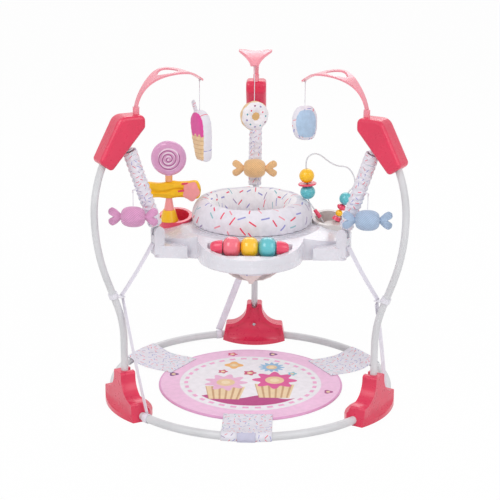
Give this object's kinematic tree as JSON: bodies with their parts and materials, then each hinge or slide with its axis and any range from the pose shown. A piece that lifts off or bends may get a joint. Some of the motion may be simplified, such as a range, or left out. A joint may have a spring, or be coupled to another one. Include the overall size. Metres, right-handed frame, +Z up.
{
  "type": "baby jumper",
  "caption": "Baby jumper with bent tube legs on a floor ring, a spring-hung tray with a turning fabric seat, hanging and tray toys and a round play mat.",
  "frame": {"origin": "on the floor under the middle of the floor ring", "axes": "+Z up, +Y away from the roller console towards the rear leg, +X to the right leg's side"},
  "size_m": [0.818, 0.8691, 0.9143],
  "materials": {
    "pink_plastic": "gloss",
    "arm_plastic": "gloss",
    "tube": "gloss",
    "steel": "satin",
    "wire": "gloss",
    "tray_plastic": "gloss",
    "print_cloth": "matte",
    "mat_cloth": "matte",
    "webbing": "matte",
    "cord": "matte",
    "pink_plush": "matte",
    "blue_plush": "matte",
    "orange_plush": "matte",
    "yellow_cloth": "satin",
    "red_plastic": "gloss",
    "beige_plastic": "gloss",
    "yellow_plastic": "gloss",
    "pale_pink_plastic": "gloss",
    "teal_plastic": "gloss",
    "lolly_plastic": "gloss",
    "bead_plastic": "gloss"
  },
  "bodies": {
    "frame": {"base_tube_front": "tube", "base_tube_rear_left": "tube", "base_tube_rear_right": "tube", "foot_left": "pink_plastic", "foot_right": "pink_plastic", "foot_rear": "pink_plastic", "leg_left": "tube", "leg_right": "tube", "leg_rear": "tube", "elbow_left": "pink_plastic", "elbow_right": "pink_plastic", "elbow_rear": "pink_plastic", "spring_pins": "steel", "arm_left": "arm_plastic", "arm_right": "arm_plastic", "arm_rear": "arm_plastic", "coil_springs": "steel", "upper_straps": "webbing", "lower_straps": "webbing", "strap_keepers": "tray_plastic", "play_mat": "mat_cloth", "mat_tabs": "print_cloth"},
    "tray": {"tray_top": "tray_plastic", "tray_bottom": "tray_plastic", "roller_axle": "steel", "wrapper_ends": "red_plastic", "lolly_dish": "red_plastic", "lolly_cup": "yellow_plastic", "lolly_stem": "pale_pink_plastic", "lolly_ribbon": "yellow_cloth", "bead_dish": "beige_plastic", "bead_wire": "wire", "bead_bases": "red_plastic"},
    "seat": {"seat_ring": "tray_plastic", "seat_pad": "print_cloth", "seat_bag": "print_cloth"},
    "roller_left": {"roller_left": "pale_pink_plastic"},
    "roller_middle": {"roller_middle": "yellow_plastic"},
    "roller_right": {"roller_right": "teal_plastic"},
    "lollipop": {"lolly_disc": "lolly_plastic"},
    "beads_left": {"beads_left": "bead_plastic"},
    "beads_right": {"beads_right": "bead_plastic"},
    "cone_toy": {"cone_toy": "pink_plush", "cone_cord": "cord"},
    "ring_toy": {"ring_toy": "pink_plush", "ring_cord": "cord"},
    "cushion_toy": {"cushion_toy": "blue_plush", "cushion_cord": "cord"},
    "cover_left": {"cover_left": "print_cloth"},
    "candy_left": {"candy_left": "pink_plush", "candy_cord_left": "cord"},
    "button_left": {"button_left": "steel"},
    "cover_right": {"cover_right": "print_cloth"},
    "candy_right": {"candy_right": "blue_plush", "candy_cord_right": "cord"},
    "button_right": {"button_right": "steel"},
    "cover_rear": {"cover_rear": "print_cloth"},
    "candy_rear": {"candy_rear": "orange_plush", "candy_cord_rear": "cord"},
    "button_rear": {"button_rear": "steel"}
  },
  "joints": [
    {"name": "tray_bounce", "type": "slide", "parent": "frame", "child": "tray", "axis": [0, 0, 1], "range_m": [-0.09, 0], "stiffness_N_per_m": 1500, "springref_m": 0.045, "deforming": ["coil_springs", "cover_left", "cover_right", "cover_rear", "upper_straps"]},
    {"name": "seat_swivel", "type": "hinge", "parent": "tray", "child": "seat", "pos_m": [0, 0, 0.478], "axis": [0, 0, 1], "continuous": true},
    {"name": "roller_left_spin", "type": "hinge", "parent": "tray", "child": "roller_left", "pos_m": [-0.0464, -0.215, 0.471], "axis": [1, 0, 0], "continuous": true},
    {"name": "roller_middle_spin", "type": "hinge", "parent": "tray", "child": "roller_middle", "pos_m": [0, -0.215, 0.471], "axis": [1, 0, 0], "continuous": true},
    {"name": "roller_right_spin", "type": "hinge", "parent": "tray", "child": "roller_right", "pos_m": [0.0464, -0.215, 0.471], "axis": [1, 0, 0], "continuous": true},
    {"name": "lollipop_spin", "type": "hinge", "parent": "tray", "child": "lollipop", "pos_m": [-0.226, -0.005, 0.62], "axis": [0, 0, 1], "continuous": true},
    {"name": "beads_left_slide", "type": "slide", "parent": "tray", "child": "beads_left", "axis": [-0.08, 0, 0.9968], "range_m": [0, 0.006]},
    {"name": "beads_right_slide", "type": "slide", "parent": "tray", "child": "beads_right", "axis": [0.3921, 0, 0.9199], "range_m": [0, 0.004]},
    {"name": "cone_toy_swing", "type": "hinge", "parent": "frame", "child": "cone_toy", "pos_m": [-0.13742, -0.07934, 0.88092], "axis": [0.5, -0.866, 0], "range_deg": [-25, 25]},
    {"name": "ring_toy_swing", "type": "hinge", "parent": "frame", "child": "ring_toy", "pos_m": [0, 0.15868, 0.88092], "axis": [-1, 0, 0], "range_deg": [-25, 25]},
    {"name": "cushion_toy_swing", "type": "hinge", "parent": "frame", "child": "cushion_toy", "pos_m": [0.13742, -0.07934, 0.88092], "axis": [0.5, 0.866, 0], "range_deg": [-25, 25]},
    {"name": "cover_left_ride", "type": "slide", "parent": "frame", "child": "cover_left", "axis": [0, 0, 1], "range_m": [-0.045, 0]},
    {"name": "candy_left_swing", "type": "hinge", "parent": "cover_left", "child": "candy_left", "pos_m": [-0.30313, -0.18955, 0.6065], "axis": [0, 1, 0], "range_deg": [-20, 20]},
    {"name": "button_left_press", "type": "slide", "parent": "frame", "child": "button_left", "axis": [-0.866, -0.5, 0], "range_m": [0, 0.004], "stiffness_N_per_m": 800, "springref_m": -0.002},
    {"name": "cover_right_ride", "type": "slide", "parent": "frame", "child": "cover_right", "axis": [0, 0, 1], "range_m": [-0.045, 0]},
    {"name": "candy_right_swing", "type": "hinge", "parent": "cover_right", "child": "candy_right", "pos_m": [0.30313, -0.18955, 0.6065], "axis": [0, 1, 0], "range_deg": [-20, 20]},
    {"name": "button_right_press", "type": "slide", "parent": "frame", "child": "button_right", "axis": [0.866, -0.5, 0], "range_m": [0, 0.004], "stiffness_N_per_m": 800, "springref_m": -0.002},
    {"name": "cover_rear_ride", "type": "slide", "parent": "frame", "child": "cover_rear", "axis": [0, 0, 1], "range_m": [-0.045, 0]},
    {"name": "candy_rear_swing", "type": "hinge", "parent": "cover_rear", "child": "candy_rear", "pos_m": [0, 0.25739, 0.6315], "axis": [0, 1, 0], "range_deg": [-20, 20]},
    {"name": "button_rear_press", "type": "slide", "parent": "frame", "child": "button_rear", "axis": [0, 1, 0], "range_m": [0, 0.004], "stiffness_N_per_m": 800, "springref_m": -0.002}
  ],
  "couplings": [
    {"joint": "cover_left_ride", "follows": "tray_bounce", "ratio": 0.5},
    {"joint": "cover_right_ride", "follows": "tray_bounce", "ratio": 0.5},
    {"joint": "cover_rear_ride", "follows": "tray_bounce", "ratio": 0.5}
  ]
}
